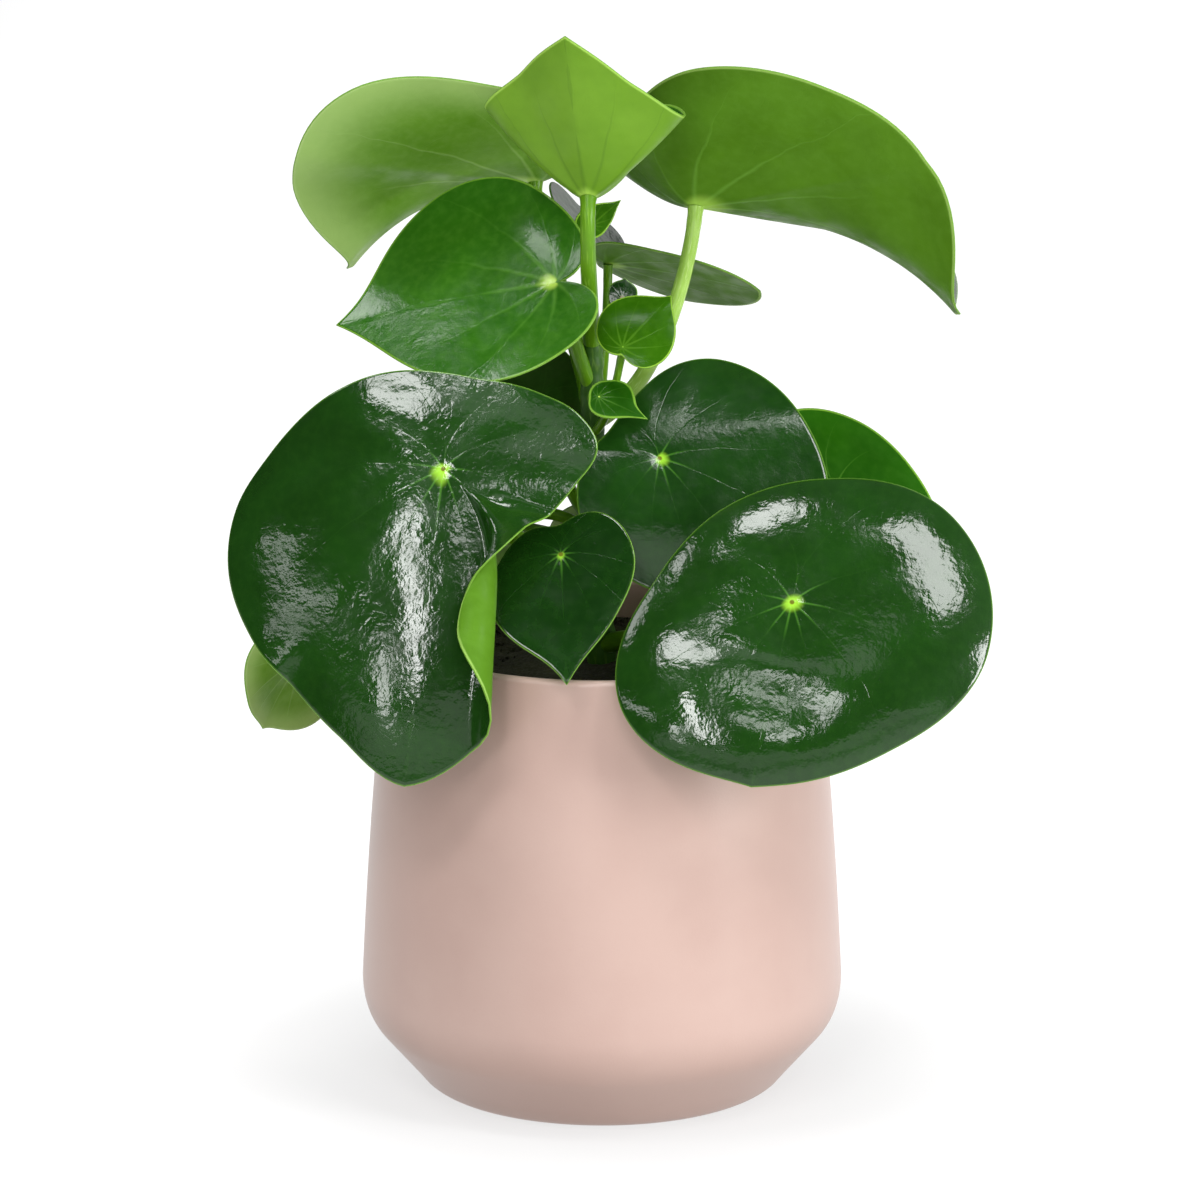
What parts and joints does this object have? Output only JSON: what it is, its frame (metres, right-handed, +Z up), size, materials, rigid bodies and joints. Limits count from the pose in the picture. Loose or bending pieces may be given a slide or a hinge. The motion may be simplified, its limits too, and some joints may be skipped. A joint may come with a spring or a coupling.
{
  "type": "potted plant",
  "caption": "Potted peperomia with large round peltate leaves on fleshy stalks, standing in a matte blush ceramic pot with a chamfered foot.",
  "frame": {"origin": "centre of the pot's flat underside, on the surface it stands on", "axes": "+Z up along the pot's axis, -Y towards the front of the plant, +X to the right of someone who looks at the front"},
  "size_m": [0.223, 0.1789, 0.3251],
  "materials": {
    "pot": "matte",
    "soil": "matte",
    "stem": "satin",
    "stalk": "satin",
    "leaf_old": "gloss",
    "leaf_young": "gloss",
    "leaf_underside": "satin"
  },
  "bodies": {
    "root": {"pot": "pot", "soil": "soil", "stem": "stem", "blade_top_left": "leaf_underside", "blade_crown": "leaf_underside", "blade_top_right": "leaf_underside", "blade_upper_left": "leaf_young", "blade_front_left": "leaf_old", "blade_front_right": "leaf_old", "blade_centre_right": "leaf_old", "blade_right_behind": "leaf_young", "blade_front_low": "leaf_old", "blade_young": "leaf_young", "blade_bud": "leaf_young", "blade_back_thin": "leaf_young", "blade_left_behind": "leaf_old", "blade_low_left": "leaf_young", "blade_small_behind": "leaf_old", "blade_back_grey": "leaf_old", "blade_shoot": "leaf_young", "blade_far_left": "leaf_old", "blade_far_right": "leaf_old", "blade_far_low": "leaf_old", "blade_far_bottom": "leaf_old", "stalk_top_left": "stalk", "stalk_crown": "stalk", "stalk_top_right": "stalk", "stalk_upper_left": "stalk", "stalk_front_left": "stalk", "stalk_front_right": "stalk", "stalk_centre_right": "stalk", "stalk_right_behind": "stalk", "stalk_front_low": "stalk", "stalk_young": "stalk", "stalk_bud": "stalk", "stalk_back_thin": "stalk", "stalk_left_behind": "stalk", "stalk_low_left": "stalk", "stalk_small_behind": "stalk", "stalk_back_grey": "stalk", "stalk_shoot": "stalk", "stalk_far_left": "stalk", "stalk_far_right": "stalk", "stalk_far_low": "stalk", "stalk_far_bottom": "stalk"}
  },
  "joints": []
}
